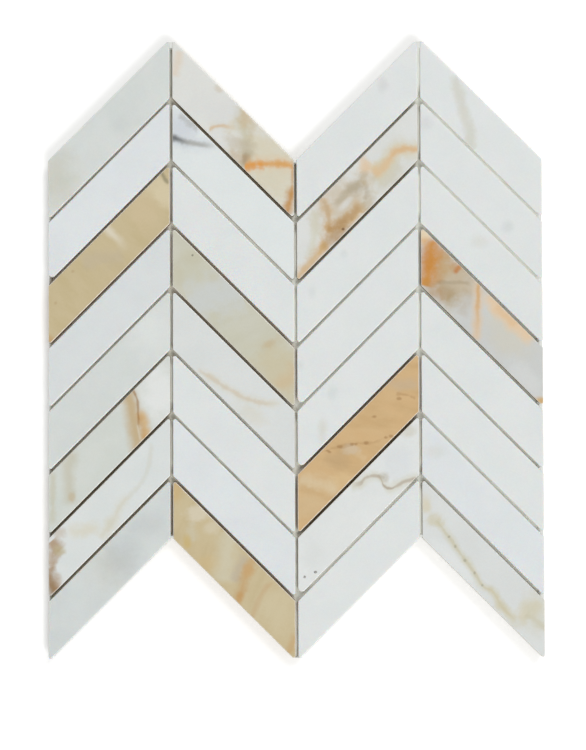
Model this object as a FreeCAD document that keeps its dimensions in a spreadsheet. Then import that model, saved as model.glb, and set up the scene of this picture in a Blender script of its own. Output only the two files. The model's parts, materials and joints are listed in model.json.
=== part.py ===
# Chevron mosaic wall tile, the sheet as it is sold: sawn marble parallelograms
# laid in zigzag columns with open joints and glued to a net of glass fibre.
# Millimetres. The sheet lies on its back: net on the floor, polished faces up (+Z),
# chevron points towards +Y, origin under the middle of the sheet.

import FreeCAD
import Part
import Sketcher
import math
import os

doc = FreeCAD.newDocument("chevron_mosaic_sheet")

# Driving dimensions
DIMENSIONS = (
    ("columns", 4, "zigzag columns across the sheet"),
    ("rows", 8, "marble pieces in a column"),
    ("strip_width", 21.0, "sawn width of a marble strip, square to its long edges"),
    ("piece_run", 60.8, "width of a piece across its column"),
    ("lean_angle", 45.0, "lean of the long edges from the horizontal, in degrees"),
    ("bed_joint", 1.25, "open joint between the pieces of a column, square to it"),
    ("column_joint", 1.25, "open joint between two columns"),
    ("stone_thickness", 9.5, "thickness of the marble"),
    ("sharp_corner_radius", 1.0, "rounding of the two acute corners, seen from above"),
    ("blunt_corner_radius", 0.5, "rounding of the two obtuse corners"),
    ("arris", 0.4, "chamfer ground on the edges of the face"),
    ("net_thickness", 0.6, "net of glass fibre with its glue"),
    ("net_margin", 3.0, "how far the net stops short of the marble's outer edges"),
)

sizes = doc.addObject("Spreadsheet::Sheet", "sizes")
for line, (alias, value, meaning) in enumerate(DIMENSIONS, start=1):
    sizes.set(f"A{line}", meaning)
    sizes.set(f"B{line}", str(value))
    sizes.setAlias(f"B{line}", alias)
doc.recompute()

columns = int(sizes.columns)
rows = int(sizes.rows)
lean = math.radians(sizes.lean_angle)

# Lengths that follow from the driving dimensions, as expressions
LEAN = "(sizes.lean_angle * 1 deg)"
END_LENGTH = f"(sizes.strip_width / cos({LEAN}))"
ROW_PITCH = f"((sizes.strip_width + sizes.bed_joint) / cos({LEAN}))"
COLUMN_PITCH = "(sizes.piece_run + sizes.column_joint)"
FIRST_ROW = f"({(rows - 1) / 2} * {ROW_PITCH})"

# Ends of a line in a sketch, the sketch's origin, and how near two lengths count as equal
START, END = 1, 2
ORIGIN = (-1, 1)
TOLERANCE = 1e-6


def climbs(column):
    """1 where the pieces of a column climb to the right, as in the first one, or else -1."""
    return 1 if column % 2 == 1 else -1


def new_body(label):
    """An empty body with its own label, which names its file."""
    body = doc.addObject("PartDesign::Body", label)
    body.Label = label
    return body


def draw_outline(body, corners):
    """A closed outline on the body's XY plane: line i runs from corner i to the next one."""
    sketch = body.newObject("Sketcher::SketchObject", f"{body.Label}_outline")
    plane = next(p for p in body.Origin.OriginFeatures if p.Role == "XY_Plane")
    sketch.AttachmentSupport = (plane, "")
    sketch.MapMode = "FlatFace"
    points = [FreeCAD.Vector(x, y, 0) for x, y in corners]
    following = points[1:] + points[:1]
    for point, next_point in zip(points, following):
        sketch.addGeometry(Part.LineSegment(point, next_point))
    for line in range(len(points)):
        next_line = (line + 1) % len(points)
        sketch.addConstraint(Sketcher.Constraint("Coincident", line, END, next_line, START))
    return sketch


def dimension(sketch, name, expression, *constraint):
    """A named dimension of the sketch, with the value it is drawn at, then bound to the spreadsheet."""
    index = sketch.addConstraint(Sketcher.Constraint(*constraint))
    sketch.renameConstraint(index, name)
    sketch.setExpression(f"Constraints.{name}", expression)


def feature(body, kind, name, settings, bound):
    """A feature of the body: plain settings, and sizes bound to the spreadsheet."""
    made = body.newObject(f"PartDesign::{kind}", f"{body.Label}_{name}")
    for key, value in settings.items():
        setattr(made, key, value)
    for key, expression in bound.items():
        made.setExpression(key, expression)
    doc.recompute()
    return made


def upright_edges(shape):
    """Names of the upright edges at the four corners, the two obtuse corners first:
    those lie nearer to the middle of the piece than the two acute ones."""
    found = []
    for number, edge in enumerate(shape.Edges, start=1):
        low, high = (vertex.Point for vertex in edge.Vertexes)
        if (high - low).cross(FreeCAD.Vector(0, 0, 1)).Length < TOLERANCE:
            found.append((low.x**2 + low.y**2, f"Edge{number}"))
    return [name for _, name in sorted(found)]


def face_edges(shape):
    """Names of the edges round the upper face."""
    top = shape.BoundBox.ZMax
    return [
        f"Edge{number}"
        for number, edge in enumerate(shape.Edges, start=1)
        if abs(edge.BoundBox.ZMin - top) < TOLERANCE
    ]


def marble_piece(column, row):
    """One sawn piece: two upright ends, two leaning long edges, eased corners and arrises."""
    body = new_body(f"marble_c{column}_r{row}")
    climb = climbs(column)

    # Outline about the middle of the piece, from its lower left corner round
    half_run = sizes.piece_run / 2
    half_rise = climb * half_run * math.tan(lean)
    half_end = sizes.strip_width / math.cos(lean) / 2
    sketch = draw_outline(
        body,
        (
            (-half_run, -half_rise - half_end),
            (half_run, half_rise - half_end),
            (half_run, half_rise + half_end),
            (-half_run, -half_rise + half_end),
        ),
    )
    lower_edge, right_end, upper_edge, left_end = range(4)
    for upright in (right_end, left_end):
        sketch.addConstraint(Sketcher.Constraint("Vertical", upright))
    sketch.addConstraint(Sketcher.Constraint("Parallel", lower_edge, upper_edge))
    sketch.addConstraint(
        Sketcher.Constraint("Symmetric", lower_edge, START, upper_edge, START, *ORIGIN)
    )
    dimension(
        sketch, "run", "sizes.piece_run",
        "DistanceX", lower_edge, START, lower_edge, END, sizes.piece_run,
    )
    dimension(
        sketch, "strip_width", "sizes.strip_width",
        "Distance", upper_edge, START, lower_edge, sizes.strip_width,
    )
    dimension(sketch, "lean", f"{climb} * {LEAN}", "Angle", lower_edge, climb * lean)

    stone = feature(body, "Pad", "stone", {"Profile": sketch}, {"Length": "sizes.stone_thickness"})
    acute = upright_edges(stone.Shape)[-2:]
    sharp = feature(
        body, "Fillet", "sharp_corners", {"Base": (stone, acute)}, {"Radius": "sizes.sharp_corner_radius"}
    )
    obtuse = upright_edges(sharp.Shape)[:2]
    blunt = feature(
        body, "Fillet", "blunt_corners", {"Base": (sharp, obtuse)}, {"Radius": "sizes.blunt_corner_radius"}
    )
    rim = face_edges(blunt.Shape)
    feature(body, "Chamfer", "arris", {"Base": (blunt, rim)}, {"Size": "sizes.arris"})

    body.setExpression("Placement.Base.x", f"{column - (columns + 1) / 2} * {COLUMN_PITCH}")
    body.setExpression("Placement.Base.y", f"{FIRST_ROW} - {row - 1} * {ROW_PITCH}")
    body.setExpression("Placement.Base.z", "sizes.net_thickness")
    return body


def backing_net():
    """The net under all the pieces, cut to the same zigzag and kept back from their edges."""
    body = new_body("backing_net")
    half_width = f"({columns / 2} * {COLUMN_PITCH} - sizes.column_joint / 2 - sizes.net_margin)"
    edge = f"({FIRST_ROW} + {END_LENGTH} / 2 - sizes.net_margin / cos({LEAN}))"

    # The zigzag turns in the middle of each joint between columns
    zigzag = []
    for boundary in range(columns + 1):
        x = f"({boundary - columns / 2} * {COLUMN_PITCH})"
        reach = f"{COLUMN_PITCH} / 2"
        if boundary in (0, columns):
            x = f"({-1 if boundary == 0 else 1} * {half_width})"
            reach = "(sizes.piece_run / 2 - sizes.net_margin)"
        zigzag.append((x, f"{climbs(boundary)} * {reach} * tan({LEAN})"))
    lower = [(x, f"{swing} - {edge}") for x, swing in zigzag]
    upper = [(x, f"{swing} + {edge}") for x, swing in zigzag]
    corners = lower + upper[::-1]

    # Drawn as a rough zigzag first; the dimensions then take each corner to its place
    rough_half = rows
    rough_lower = [(boundary + 1, boundary % 2 - rough_half) for boundary in range(columns + 1)]
    rough_upper = [(boundary + 1, boundary % 2 + rough_half) for boundary in range(columns + 1)]
    rough = rough_lower + rough_upper[::-1]
    sketch = draw_outline(body, rough)
    for number, (x, y) in enumerate(corners):
        rough_x, rough_y = rough[number]
        dimension(sketch, f"corner_{number}_x", x, "DistanceX", number, START, rough_x)
        dimension(sketch, f"corner_{number}_y", y, "DistanceY", number, START, rough_y)
    feature(body, "Pad", "net", {"Profile": sketch}, {"Length": "sizes.net_thickness"})
    return body


pieces = [backing_net()]
for column in range(1, columns + 1):
    for row in range(1, rows + 1):
        pieces.append(marble_piece(column, row))
doc.recompute()

# Nothing is written unless every object is sound
for made in doc.Objects:
    if "Invalid" in made.State or "Error" in made.State:
        raise RuntimeError(f"{made.Label} failed to build: {made.State}")
for piece in pieces:
    if piece.Shape.isNull() or not piece.Shape.isValid() or len(piece.Shape.Solids) != 1:
        raise RuntimeError(f"{piece.Label} is not one sound solid")

os.makedirs("parts", exist_ok=True)
for piece in pieces:
    piece.Shape.exportStep(f"parts/{piece.Label}.step")
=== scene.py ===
import json
import math
import random
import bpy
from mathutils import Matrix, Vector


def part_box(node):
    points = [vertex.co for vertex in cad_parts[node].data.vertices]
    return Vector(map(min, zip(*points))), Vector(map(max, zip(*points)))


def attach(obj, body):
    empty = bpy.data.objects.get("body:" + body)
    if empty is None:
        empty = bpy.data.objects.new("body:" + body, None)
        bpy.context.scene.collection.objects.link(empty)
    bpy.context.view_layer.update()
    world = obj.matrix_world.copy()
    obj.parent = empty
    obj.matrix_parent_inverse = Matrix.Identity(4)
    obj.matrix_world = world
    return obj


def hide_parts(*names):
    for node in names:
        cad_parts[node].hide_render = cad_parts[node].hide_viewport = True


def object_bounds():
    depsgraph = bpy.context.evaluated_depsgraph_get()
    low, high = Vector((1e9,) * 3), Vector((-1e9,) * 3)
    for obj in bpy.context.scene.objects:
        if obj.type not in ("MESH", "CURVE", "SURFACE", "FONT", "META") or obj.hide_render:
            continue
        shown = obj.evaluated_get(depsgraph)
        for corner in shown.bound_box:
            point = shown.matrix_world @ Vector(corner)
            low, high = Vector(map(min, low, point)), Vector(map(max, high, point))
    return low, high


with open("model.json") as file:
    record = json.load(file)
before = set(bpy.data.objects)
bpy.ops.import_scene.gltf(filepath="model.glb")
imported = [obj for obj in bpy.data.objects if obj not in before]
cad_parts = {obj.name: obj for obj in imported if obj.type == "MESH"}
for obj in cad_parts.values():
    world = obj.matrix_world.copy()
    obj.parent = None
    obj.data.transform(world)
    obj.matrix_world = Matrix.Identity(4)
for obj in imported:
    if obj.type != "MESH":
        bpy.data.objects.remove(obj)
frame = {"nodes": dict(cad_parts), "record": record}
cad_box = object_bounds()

from types import SimpleNamespace

import bmesh
import bpy
import numpy as np
from mathutils import Matrix, Vector, noise
from mathutils.geometry import delaunay_2d_cdt

# White marble pieces
# Parallelograms of white marble, sawn from calibrated strips and honed to a soft shine on the face.
# They are laid by hand in zigzag columns, with eased arrises and tips a little knocked in handling.
MM = 0.001
STRIP_WIDTH = 21.0
LEAN = math.radians(45)
ACUTE_RADIUS = 1.0
WORN_RADIUS = 2.0
OBTUSE_RADIUS = 0.8
ARRIS = 0.5
ARRIS_STEPS = 4
BACK_EDGE = 0.2
FACE_RIM = 0.15
OUTLINE_STEP = 0.5
ARC_STEP = 0.15
FACE_STEP = 4.0
WIDEST_ARRIS = 0.8 * OBTUSE_RADIUS
RIPPLE = 0.25
RIPPLE_LENGTH = 3.0
CHIP_COUNTS = (4, 7)
CHIP_LENGTHS = (0.6, 1.8)
CHIP_DEPTHS = (0.08, 0.3)

# An open pit: shares of its radius and depth, ring by ring, its sides, raggedness and room around it
PIT_RINGS = ((1.6, 0), (1.2, 0), (1, 0.3), (0.7, 0.8), (0.35, 1))
PIT_SIDES = 9
PIT_RAGGED = 0.2
PIT_ROOM = 3

# Column and row of each piece, counted from the upper left
cells = {}
for node in frame["nodes"]:
    if node.startswith("marble_"):
        cells[node] = tuple(int(word[1:]) for word in node.split("_")[1:])
columns, rows = (max(numbers) for numbers in zip(*cells.values()))
slots = {part["node"]: part["material_slot"] for part in frame["record"]["subparts"]}


def slope(node):
    """Rise of a piece's long edges to the right: they climb in the odd columns and fall in the even ones."""
    return math.tan(LEAN) * (1 if cells[node][0] % 2 == 1 else -1)


def corners_of(node):
    """Middle of a piece, and its four sharp corners about it from the lower left one anticlockwise, in mm."""
    low, high = (Vector(corner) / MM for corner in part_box(node))
    half_run = (high.x - low.x) / 2
    half_rise = half_run * slope(node)
    half_end = STRIP_WIDTH / math.cos(LEAN) / 2
    corners = [
        Vector((-half_run, -half_rise - half_end)),
        Vector((half_run, half_rise - half_end)),
        Vector((half_run, half_rise + half_end)),
        Vector((-half_run, -half_rise + half_end)),
    ]
    return (low + high) / 2, corners


def eased_outline(corners, radii, joined, step):
    """Points round a piece with round corners: place, outward direction, and share that faces a joint."""
    arcs = []
    for number, (corner, radius) in enumerate(zip(corners, radii)):
        back = (corners[number - 1] - corner).normalized()
        ahead = (corners[(number + 1) % len(corners)] - corner).normalized()
        half_angle = back.angle(ahead) / 2
        centre = corner + (back + ahead).normalized() * radius / math.sin(half_angle)
        turn = math.pi - 2 * half_angle
        steps = math.ceil(radius * turn / ARC_STEP)
        arc = []
        for stop in range(steps + 1):
            share = stop / steps
            outward = Vector((-back.y, back.x))
            outward.rotate(Matrix.Rotation(turn * share, 2))
            facing = joined[number - 1] * (1 - share) + joined[number] * share
            arc.append((centre + outward * radius, outward, facing))
        arcs.append(arc)
    points = []
    for number, arc in enumerate(arcs):
        start, outward, _ = arc[-1]
        end = arcs[(number + 1) % len(arcs)][0][0]
        steps = math.ceil((end - start).length / step)
        points += arc
        points += [(start.lerp(end, stop / steps), outward, joined[number]) for stop in range(1, steps)]
    return points


def piece_outline(node, tips, step):
    """Outline of a piece about its middle: tips are the radii of its left and right acute corners."""
    column, row = cells[node]
    joined = (row < rows, column < columns, row > 1, column > 1)
    left, right = tips
    if slope(node) > 0:
        radii = (left, OBTUSE_RADIUS, right, OBTUSE_RADIUS)
    else:
        radii = (OBTUSE_RADIUS, right, OBTUSE_RADIUS, left)
    return eased_outline(corners_of(node)[1], radii, joined, step)


def face_outward(mesh):
    """Turns all faces of a mesh outward and shades it smooth."""
    shell = bmesh.new()
    shell.from_mesh(mesh)
    bmesh.ops.recalc_face_normals(shell, faces=shell.faces)
    shell.to_mesh(mesh)
    shell.free()
    mesh.shade_smooth()


def sawn_piece(node, tips, pits):
    """Mesh of one piece: flat back, sawn walls, rounded arris with small chips, and a face with open pits."""
    middle, corners = corners_of(node)
    bottom, top = (corner[2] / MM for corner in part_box(node))
    outline = piece_outline(node, tips, OUTLINE_STEP)
    chance = random.Random(node)
    chips = []
    for _ in range(chance.randint(*CHIP_COUNTS)):
        spot = outline[chance.randrange(len(outline))][0]
        chips.append((spot, chance.uniform(*CHIP_LENGTHS), chance.uniform(*CHIP_DEPTHS)))
    worn = []
    for place, _, _ in outline:
        ripple = noise.noise(((place.x + middle.x) / RIPPLE_LENGTH, (place.y + middle.y) / RIPPLE_LENGTH, 0))
        width = ARRIS * (1 + RIPPLE * ripple)
        for spot, length, depth in chips:
            width += depth * max(0, 1 - ((place - spot).length / length) ** 2)
        worn.append(min(width, WIDEST_ARRIS))

    rings = [
        ([BACK_EDGE] * len(outline), [bottom] * len(outline)),
        ([0] * len(outline), [bottom + BACK_EDGE] * len(outline)),
        ([0] * len(outline), [top - 2 * width for width in worn]),
    ]
    for step in range(ARRIS_STEPS + 1):
        angle = step / ARRIS_STEPS * math.pi / 2
        rings.append((
            [width * (1 - math.cos(angle)) for width in worn],
            [top - width * (1 - math.sin(angle)) for width in worn],
        ))
    rings.append(([width + FACE_RIM for width in worn], [top] * len(outline)))

    vertices = []
    joint = []
    faces = []
    count = len(outline)
    for insets, heights in rings:
        for (place, outward, facing), inset, height in zip(outline, insets, heights):
            vertices.append((*(place - outward * inset), height))
            joint.append(facing)
    joint[:count] = [0] * count
    for ring in range(len(rings) - 1):
        start = ring * count
        for number in range(count):
            after = (number + 1) % count
            faces.append((start + number, start + after, start + count + after, start + count + number))
    faces.append(tuple(reversed(range(count))))

    # The face: its rim, the pits' rings and a loose grid between them, joined by triangles
    rim_start = count * (len(rings) - 1)
    flat = [Vector(vertex[:2]) for vertex in vertices[rim_start:]]
    loop = [(number, (number + 1) % count) for number in range(count)]
    depths = [0] * count
    for spot, radius, depth in pits:
        for share, sink in PIT_RINGS:
            for stop in range(PIT_SIDES):
                angle = 2 * math.pi * (stop + share) / PIT_SIDES
                ragged = radius * share * (1 + PIT_RAGGED * math.sin(3 * angle))
                flat.append(spot + ragged * Vector((math.cos(angle), math.sin(angle))))
                depths.append(sink * depth)
    half_run = corners[1].x
    half_end = (corners[3].y - corners[0].y) / 2
    across = int(half_run / FACE_STEP)
    along = int(half_end / FACE_STEP)
    for column in range(-across, across + 1):
        for row in range(-along, along + 1):
            x = column * FACE_STEP
            y = row * FACE_STEP + slope(node) * x
            if all((Vector((x, y)) - spot).length > PIT_ROOM * radius for spot, radius, _ in pits):
                if half_run - abs(x) > FACE_RIM + 2 * ARRIS:
                    flat.append(Vector((x, y)))
                    depths.append(0)
    points, _, triangles, sources, _, _ = delaunay_2d_cdt(flat, loop, [], 1, 1e-6)
    numbers = []
    for point, source in zip(points, sources):
        if source[0] < count:
            numbers.append(rim_start + source[0])
        else:
            numbers.append(len(vertices))
            vertices.append((*point, top - depths[source[0]]))
            joint.append(0)
    faces += [tuple(numbers[number] for number in triangle) for triangle in triangles]

    mesh = bpy.data.meshes.new(node.replace("marble_", "stone_"))
    mesh.from_pydata([((x + middle.x) * MM, (y + middle.y) * MM, z * MM) for x, y, z in vertices], [], faces)
    face_outward(mesh)
    # The share that faces a joint is kept on the mesh; the material paints light or shade onto those walls
    # with it
    shares = mesh.attributes.new("joint", "FLOAT", "POINT")
    shares.data.foreach_set("value", [float(share) for share in joint])
    return mesh


def linear(code):
    """Linear colour of an sRGB hex value."""
    channels = [int(code[start:start + 2], 16) / 255 for start in (1, 3, 5)]
    return (*(c / 12.92 if c <= 0.04045 else ((c + 0.055) / 1.055) ** 2.4 for c in channels), 1.0)


def add(tree, kind, inputs, **settings):
    """A node of one kind with its settings; an input is a value, or the output that it is linked to."""
    node = tree.nodes.new(f"ShaderNode{kind}")
    for name, value in settings.items():
        setattr(node, name, value)
    for name, value in inputs.items():
        if isinstance(value, bpy.types.NodeSocket):
            tree.links.new(value, node.inputs[name])
        else:
            node.inputs[name].default_value = value
    return node


# Sizes of marble's patterns: soft clouds, the sway of veins, ragged edges of marks and crystal grain
CLOUD = 17.0
SWAY_LENGTH = 8.0
SWAY = 1.6
PATCH = 6.0
RAGGED = 2.0
GRAIN = 0.9
SLAB_STEP = 83.0
UNEVENNESS = ((RAGGED, 0.2), (PATCH, 0.5))

# Noise lies mostly between these two values
NOISE_LOW, NOISE_HIGH = 0.3, 0.7

# Inputs and output of a Mix node that blends colours
FACTOR, UNDER, OVER, BLEND = 0, 6, 7, 2


def blank_material(name):
    """A new material with no nodes yet."""
    material = bpy.data.materials.new(name)
    material.use_nodes = True
    material.node_tree.nodes.clear()
    return material


def start_marble(node, finish, ground, cloud):
    """A marble material begun with its clouded ground, over which marks are then laid one by one."""
    material = blank_material(f"{finish} {node}")
    tree = material.node_tree
    middle, _ = corners_of(node)
    column, row = cells[node]
    sheet_place = add(tree, "TexCoord", {}).outputs["Object"]
    place = add(
        tree, "VectorMath", {0: sheet_place, 1: (1 / MM,) * 3, 2: -middle}, operation="MULTIPLY_ADD"
    ).outputs[0]
    slab = add(tree, "VectorMath", {0: place, 1: (column * SLAB_STEP, row * SLAB_STEP, 0)}).outputs[0]
    drift = add(tree, "TexNoise", {"Vector": slab, "Scale": 1 / SWAY_LENGTH, "Detail": 2.0}).outputs["Color"]
    drift = add(tree, "VectorMath", {0: drift, 1: (0.5, 0.5, 0.5)}, operation="SUBTRACT").outputs[0]
    swayed = add(
        tree, "VectorMath", {0: drift, 1: (SWAY, SWAY, 0), 2: place}, operation="MULTIPLY_ADD"
    ).outputs[0]
    flat = add(tree, "VectorMath", {0: swayed, 1: (1, 1, 0)}, operation="MULTIPLY").outputs[0]
    unevenness = []
    for size, share in UNEVENNESS:
        speckle = add(tree, "TexNoise", {"Vector": slab, "Scale": 1 / size, "Detail": 3.0}).outputs["Fac"]
        unevenness.append(add(
            tree, "MapRange",
            {
                "Value": speckle,
                "From Min": NOISE_LOW,
                "From Max": NOISE_HIGH,
                "To Min": -share,
                "To Max": share,
            },
        ).outputs[0])
    ragged = add(tree, "Math", {0: unevenness[0], 1: unevenness[1]}).outputs[0]
    grain = add(tree, "TexNoise", {"Vector": slab, "Scale": 1 / GRAIN, "Detail": 2.0}).outputs["Fac"]
    clouds = add(
        tree, "TexNoise", {"Vector": slab, "Scale": 1 / CLOUD, "Detail": 4.0, "Roughness": 0.55}
    ).outputs["Fac"]
    clouds = add(
        tree, "MapRange", {"Value": clouds, "From Min": NOISE_LOW, "From Max": NOISE_HIGH},
        interpolation_type="SMOOTHSTEP",
    ).outputs[0]
    colour = add(
        tree, "Mix", {FACTOR: clouds, UNDER: linear(ground), OVER: linear(cloud)}, data_type="RGBA"
    ).outputs[BLEND]
    return SimpleNamespace(
        node=node, material=material, tree=tree,
        slab=slab, flat=flat, colour=colour, ragged=ragged, grain=grain,
        tips=[ACUTE_RADIUS, ACUTE_RADIUS], pits=[],
    )


def place_on(stone, spot):
    """A point about a piece's middle, from its place across and its height over the strip's middle line."""
    across, height = spot
    return Vector((across, height + slope(stone.node) * across))


def tint(stone, amount, colour):
    """Lays a colour over the marble by an amount that varies from place to place."""
    stone.colour = add(
        stone.tree, "Mix", {FACTOR: amount, UNDER: stone.colour, OVER: linear(colour)}, data_type="RGBA"
    ).outputs[BLEND]


def stain(stone, at, reach, colour, strength=0.7, turn=0, soft=1.2, ragged=0.5):
    """A soft patch of colour in the marble: an ellipse about a point, turned by some degrees."""
    tree = stone.tree
    inside = add(
        tree, "Mapping",
        {
            "Vector": stone.flat,
            "Location": (*place_on(stone, at), 0),
            "Rotation": (0, 0, math.radians(turn)),
            "Scale": (*reach, 1),
        },
        vector_type="TEXTURE",
    ).outputs[0]
    away = add(tree, "VectorMath", {0: inside}, operation="LENGTH").outputs["Value"]
    away = add(tree, "Math", {0: stone.ragged, 1: ragged, 2: away}, operation="MULTIPLY_ADD").outputs[0]
    amount = add(
        tree, "MapRange",
        {"Value": away, "From Min": 1 + soft / 2, "From Max": 1 - soft / 2, "To Max": strength},
        interpolation_type="SMOOTHSTEP",
    ).outputs[0]
    tint(stone, amount, colour)


# A vein is drawn in a strip this many vein widths broad, or more where its course swings out further
COURSE_WIDTHS = 4
COURSE_SWINGS = 2.4


def vein(stone, course, width, colour, strength=0.7, fade=(0.15, 0.15), ragged=0.5):
    """A vein through the marble along a given course, soft across and fading out at its ends."""
    tree = stone.tree
    path = [place_on(stone, spot) for spot in course]
    chord = path[-1] - path[0]
    along = chord.normalized()
    across = Vector((-along.y, along.x))
    steps = [point - path[0] for point in path]
    swing = max(abs(step.dot(across)) for step in steps)
    sway = max(COURSE_WIDTHS * width, COURSE_SWINGS * swing)
    strip = add(
        tree, "Mapping",
        {
            "Vector": stone.flat,
            "Location": (*(path[0] - across * sway / 2), 0),
            "Rotation": (0, 0, math.atan2(chord.y, chord.x)),
            "Scale": (chord.length, sway, 1),
        },
        vector_type="TEXTURE",
    ).outputs[0]
    axes = add(tree, "SeparateXYZ", {0: strip})
    line = add(tree, "FloatCurve", {"Value": axes.outputs["X"]})
    points = line.mapping.curves[0].points
    points[0].location = (0, 0.5)
    points[1].location = (1, 0.5)
    for step in steps[1:-1]:
        points.new(step.dot(along) / chord.length, 0.5 + step.dot(across) / sway)
    line.mapping.update()
    gap = add(tree, "Math", {0: axes.outputs["Y"], 1: line.outputs[0]}, operation="SUBTRACT").outputs[0]
    gap = add(tree, "Math", {0: gap}, operation="ABSOLUTE").outputs[0]
    gap = add(
        tree, "Math", {0: stone.ragged, 1: ragged * width / sway, 2: gap}, operation="MULTIPLY_ADD"
    ).outputs[0]
    amount = add(
        tree, "MapRange", {"Value": gap, "From Min": width / sway, "From Max": 0, "To Max": strength},
        interpolation_type="SMOOTHSTEP",
    ).outputs[0]
    for edge, share in ((0, fade[0]), (1, -fade[1])):
        ends = add(
            tree, "MapRange", {"Value": axes.outputs["X"], "From Min": edge, "From Max": edge + share},
            interpolation_type="SMOOTHSTEP",
        ).outputs[0]
        amount = add(tree, "Math", {0: amount, 1: ends}, operation="MULTIPLY").outputs[0]
    tint(stone, amount, colour)


HONED_ROUGHNESS = 0.22
SAWN_ROUGHNESS = 0.75
ROUGHNESS_SPREAD = 0.04
HONED_RELIEF = 0.004
SAWN_RELIEF = 0.05
SPARKLE = 0.035
# Pale colour laid over the rounded arris: partly bruised stone, partly painted highlight
PALE_BRUISE_AND_HIGHLIGHT = "#F0EEE8"
MARBLE_IOR = 1.5
CALCITE_RADIUS = (1.0, 0.65, 0.45)

# How far a surface looks up: from walls to the face, and from the flat face to its rounded arris
WALL_UPWARD, FACE_UPWARD = 0.3, 0.6
FLAT_UPWARD, ROUND_UPWARD = 0.99, 0.85

# The tips' radii of each laid piece, which the glue follows
laid_tips = {}


def in_scene(name, data):
    """A new object of a mesh, a lamp or a camera, put into the scene."""
    thing = bpy.data.objects.new(name, data)
    bpy.context.scene.collection.objects.link(thing)
    return thing


def lay(stone, sawn, joint, bruise_and_highlight, glow, glow_depth):
    """Finishes a piece: its sawn walls and back, its shader and mesh, and its place in the sheet."""
    tree = stone.tree
    upward = add(tree, "NewGeometry", {}).outputs["Normal"]
    upward = add(tree, "SeparateXYZ", {0: upward}).outputs["Z"]
    face = add(
        tree, "MapRange", {"Value": upward, "From Min": WALL_UPWARD, "From Max": FACE_UPWARD}
    ).outputs[0]
    # The rounded arris is lightened towards that colour: partly bruised stone, partly painted highlight
    arris = add(
        tree, "MapRange",
        {"Value": upward, "From Min": FLAT_UPWARD, "From Max": ROUND_UPWARD, "To Max": bruise_and_highlight},
    ).outputs[0]
    tint(stone, arris, PALE_BRUISE_AND_HIGHLIGHT)
    # Walls that face a joint take the finish's joint colour: painted light between white pieces, painted
    # shade beside veined and honey ones
    facing = add(tree, "Attribute", {}, attribute_name="joint").outputs["Fac"]
    wall = add(
        tree, "Mix", {FACTOR: facing, UNDER: linear(sawn), OVER: linear(joint)}, data_type="RGBA"
    ).outputs[BLEND]
    colour = add(
        tree, "Mix", {FACTOR: face, UNDER: wall, OVER: stone.colour}, data_type="RGBA"
    ).outputs[BLEND]
    sparkle = add(
        tree, "MapRange", {"Value": stone.grain, "To Min": 1 - SPARKLE, "To Max": 1 + SPARKLE}
    ).outputs[0]
    colour = add(tree, "VectorMath", {0: colour, "Scale": sparkle}, operation="SCALE").outputs[0]
    roughness = add(
        tree, "MapRange", {"Value": face, "To Min": SAWN_ROUGHNESS, "To Max": HONED_ROUGHNESS}
    ).outputs[0]
    roughness = add(
        tree, "Math", {0: stone.ragged, 1: ROUGHNESS_SPREAD, 2: roughness}, operation="MULTIPLY_ADD"
    ).outputs[0]
    relief = add(
        tree, "MapRange", {"Value": face, "To Min": SAWN_RELIEF * MM, "To Max": HONED_RELIEF * MM}
    ).outputs[0]
    relief = add(tree, "Math", {0: stone.grain, 1: relief}, operation="MULTIPLY").outputs[0]
    bump = add(tree, "Bump", {"Height": relief, "Strength": 1.0, "Distance": 1.0}).outputs[0]
    shader = add(
        tree, "BsdfPrincipled",
        {
            "Base Color": colour,
            "Roughness": roughness,
            "Normal": bump,
            "IOR": MARBLE_IOR,
            "Subsurface Weight": glow,
            "Subsurface Radius": CALCITE_RADIUS,
            "Subsurface Scale": glow_depth * MM,
        },
    ).outputs[0]
    add(tree, "OutputMaterial", {"Surface": shader})

    mesh = sawn_piece(stone.node, stone.tips, stone.pits)
    mesh.materials.append(stone.material)
    piece = in_scene(mesh.name, mesh)
    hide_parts(stone.node)
    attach(piece, "root")
    laid_tips[stone.node] = stone.tips


# Honed white marble: cool and milky, so light spreads inside it, with hardly any cloud.
# The tones differ a little from piece to piece, as strips from several blocks do.
WHITE = "honed white marble"
# Its joint colour is painted light on the walls in the joints, and its arris lightening is partly bruised
# stone, partly painted highlight
WHITE_FINISH = {"sawn": "#DADBD6", "joint": "#F0F0EC", "bruise_and_highlight": 0.2, "glow": 0.6, "glow_depth": 1.5}
PLAIN_WHITE = ("#E2E5E4", "#DFE3E2")
BLUISH_WHITE = ("#E1E5E6", "#DEE2E3")
SOFT_WHITE = ("#DCE0E0", "#D9DDDD")
DULL_WHITE = ("#D9DDDA", "#D4D9D6")
SHADED_WHITE = ("#D6DBD9", "#D1D6D5")
SMOKE = "#AEB3B2"
OLIVE = "#BDB492"
SMUDGE_SOFT = 1.8
# Most pieces of the left column are a little duller, the lower left one most
odd_tones = {
    "marble_c1_r1": DULL_WHITE,
    "marble_c1_r2": BLUISH_WHITE,
    "marble_c1_r4": SOFT_WHITE,
    "marble_c1_r5": DULL_WHITE,
    "marble_c1_r8": SHADED_WHITE,
    "marble_c2_r7": BLUISH_WHITE,
    "marble_c4_r7": BLUISH_WHITE,
}
worn_left_tips = ("marble_c1_r2", "marble_c3_r4", "marble_c3_r5")

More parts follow.
